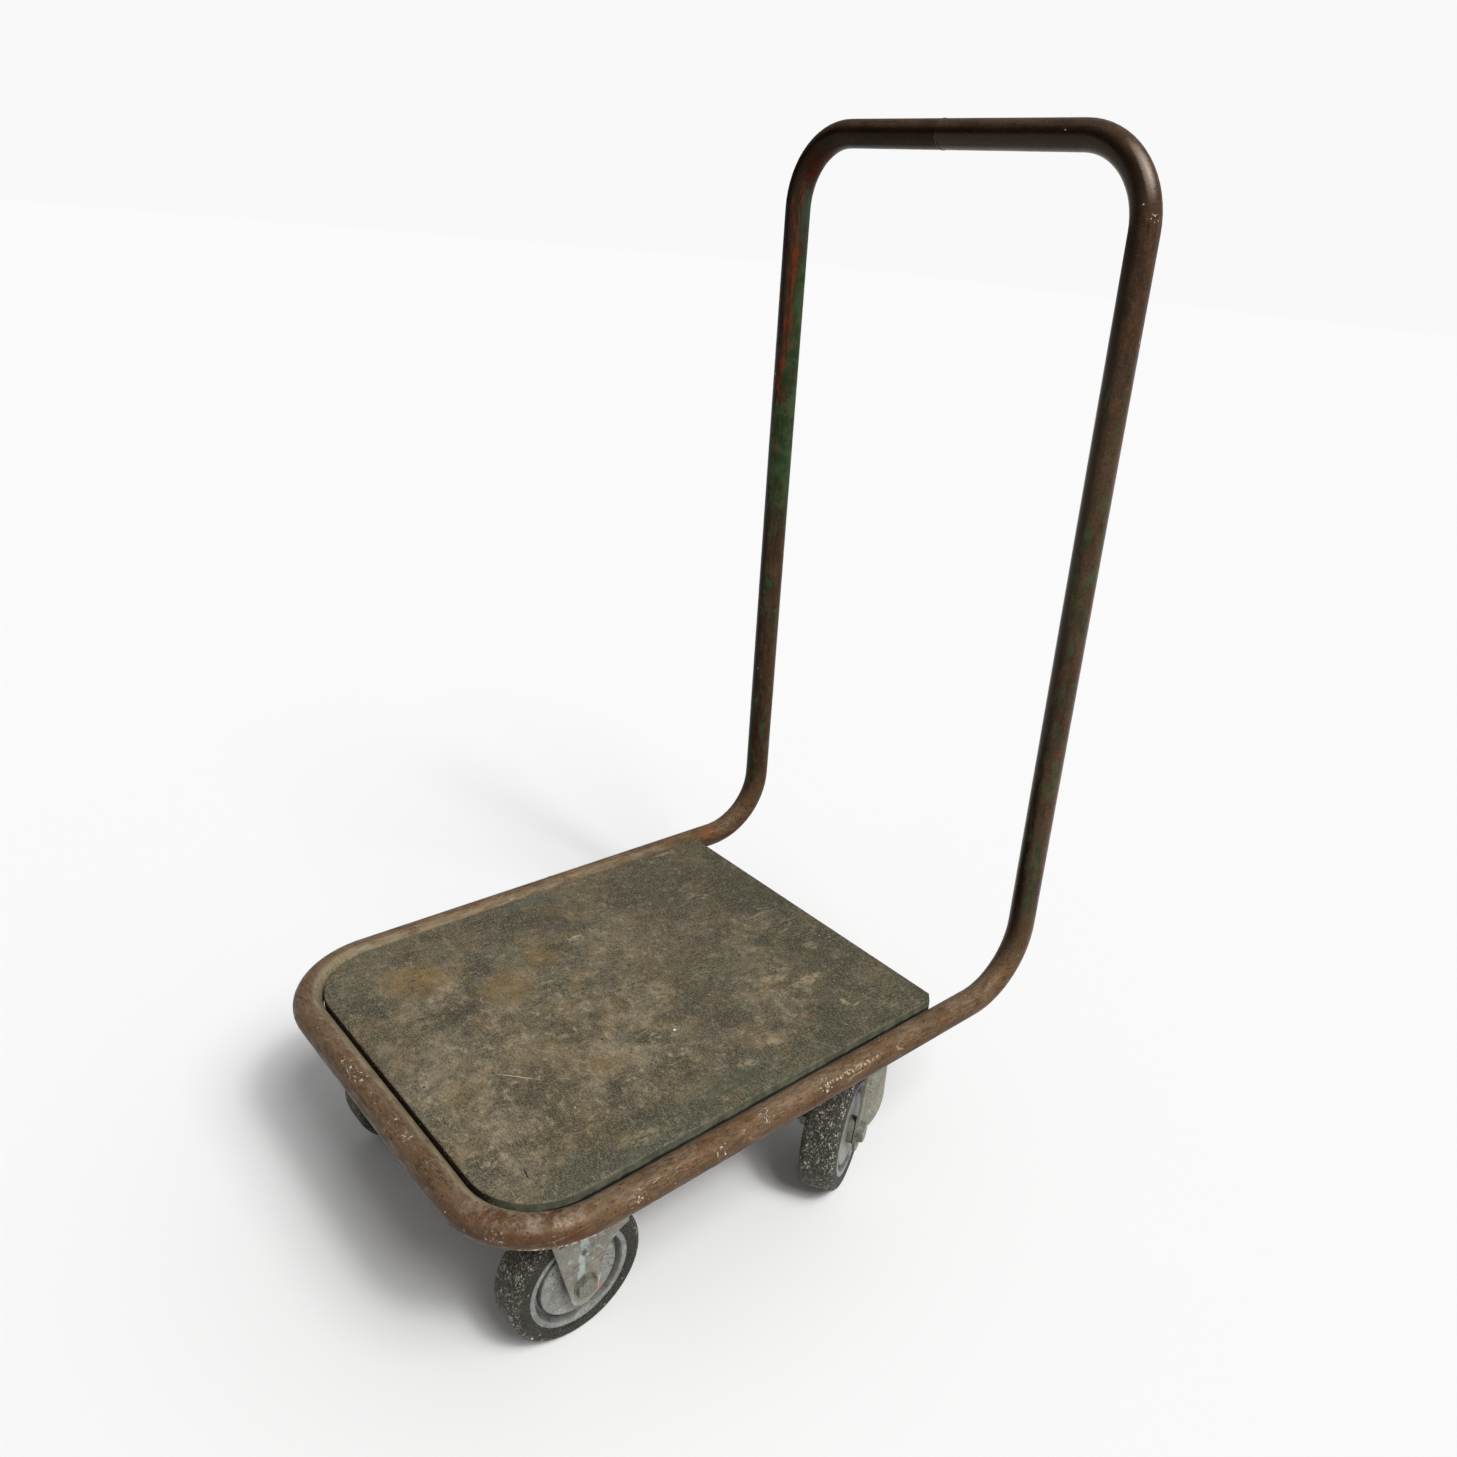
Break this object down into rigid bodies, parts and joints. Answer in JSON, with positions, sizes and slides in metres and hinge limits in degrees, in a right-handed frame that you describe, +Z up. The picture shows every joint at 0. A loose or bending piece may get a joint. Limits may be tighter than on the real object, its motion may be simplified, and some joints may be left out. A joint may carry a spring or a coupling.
{
  "type": "platform trolley",
  "caption": "Small platform trolley: bent steel tube frame rising into a push handle, painted plywood deck, fixed casters in front and swivel casters under the handle.",
  "frame": {"origin": "floor level, at the centre of the trolley's outer length and width", "axes": "+Z up, +Y towards the push handle, +X to the right when looking along +Y from the front"},
  "size_m": [0.4578, 0.6213, 1.0059],
  "materials": {
    "handle_tube_steel": "bare steel tube with a dark rust-brown patina and remnants of green paint and red primer",
    "deck_tube_steel": "bare steel tube with a light rust-brown patina, rubbed and flecked",
    "weld_steel": "rusted weld bead",
    "painted_plywood": "worn dark green paint over plywood, scratched down to beige",
    "painted_channel": "old dark green paint with rust",
    "caster_steel": "dull zinc-grey pressed steel with paint drips",
    "rim_steel": "dull grey pressed steel disc, dusty",
    "tyre_rubber": "black solid rubber, gritty tread",
    "fastener_steel": "dull zinc-plated steel with light rust",
    "screw_steel": "dull plated steel",
    "bearing_steel": "greased bearing steel"
  },
  "bodies": {
    "frame": {"board_screws": "screw_steel", "channel_front_aft": "painted_channel", "channel_front_fore": "painted_channel", "channel_rear_aft": "painted_channel", "channel_rear_fore": "painted_channel", "deck_board": "painted_plywood", "fixed_axle_bolts": "fastener_steel", "fixed_axle_nuts": "fastener_steel", "fixed_axle_sleeves": "fastener_steel", "fixed_axle_washers": "fastener_steel", "fixed_fork_left": "caster_steel", "fixed_fork_right": "caster_steel", "fixed_plate_left": "caster_steel", "fixed_plate_right": "caster_steel", "king_nut_left": "fastener_steel", "king_nut_right": "fastener_steel", "king_pin_left": "fastener_steel", "king_pin_right": "fastener_steel", "plate_bolts": "fastener_steel", "plate_nuts": "fastener_steel", "swivel_balls_left": "bearing_steel", "swivel_balls_right": "bearing_steel", "swivel_cup_left": "caster_steel", "swivel_cup_right": "caster_steel", "swivel_plate_left": "caster_steel", "swivel_plate_right": "caster_steel", "tube_front": "deck_tube_steel", "tube_left": "handle_tube_steel", "tube_right": "handle_tube_steel", "tube_welds": "weld_steel"},
    "front_wheel_right": {"front_tyre_right": "tyre_rubber", "front_rim_right": "rim_steel", "front_hub_right": "fastener_steel", "front_bush_right": "bearing_steel"},
    "swivel_right": {"swivel_fork_right": "caster_steel", "swivel_race_right": "caster_steel", "swivel_axle_bolt_right": "fastener_steel", "swivel_axle_nut_right": "fastener_steel", "swivel_axle_washers_right": "fastener_steel", "swivel_axle_sleeve_right": "fastener_steel"},
    "rear_wheel_right": {"rear_tyre_right": "tyre_rubber", "rear_rim_right": "rim_steel", "rear_hub_right": "fastener_steel", "rear_bush_right": "bearing_steel"},
    "front_wheel_left": {"front_tyre_left": "tyre_rubber", "front_rim_left": "rim_steel", "front_hub_left": "fastener_steel", "front_bush_left": "bearing_steel"},
    "swivel_left": {"swivel_fork_left": "caster_steel", "swivel_race_left": "caster_steel", "swivel_axle_bolt_left": "fastener_steel", "swivel_axle_nut_left": "fastener_steel", "swivel_axle_washers_left": "fastener_steel", "swivel_axle_sleeve_left": "fastener_steel"},
    "rear_wheel_left": {"rear_tyre_left": "tyre_rubber", "rear_rim_left": "rim_steel", "rear_hub_left": "fastener_steel", "rear_bush_left": "bearing_steel"}
  },
  "joints": [
    {"name": "front_wheel_right_spin", "type": "hinge", "parent": "frame", "child": "front_wheel_right", "pos_m": [0.15, -0.203, 0.0625], "axis": [1, 0, 0], "continuous": true},
    {"name": "swivel_right_turn", "type": "hinge", "parent": "frame", "child": "swivel_right", "pos_m": [0.15, 0.129, 0.141], "axis": [0, 0, 1], "continuous": true},
    {"name": "rear_wheel_right_spin", "type": "hinge", "parent": "swivel_right", "child": "rear_wheel_right", "pos_m": [0.16849, 0.09466, 0.0625], "axis": [0.8805, 0.4741, 0], "continuous": true},
    {"name": "front_wheel_left_spin", "type": "hinge", "parent": "frame", "child": "front_wheel_left", "pos_m": [-0.15, -0.203, 0.0625], "axis": [1, 0, 0], "continuous": true},
    {"name": "swivel_left_turn", "type": "hinge", "parent": "frame", "child": "swivel_left", "pos_m": [-0.15, 0.129, 0.141], "axis": [0, 0, 1], "continuous": true},
    {"name": "rear_wheel_left_spin", "type": "hinge", "parent": "swivel_left", "child": "rear_wheel_left", "pos_m": [-0.12048, 0.10352, 0.0625], "axis": [0.6534, 0.757, 0], "continuous": true}
  ]
}
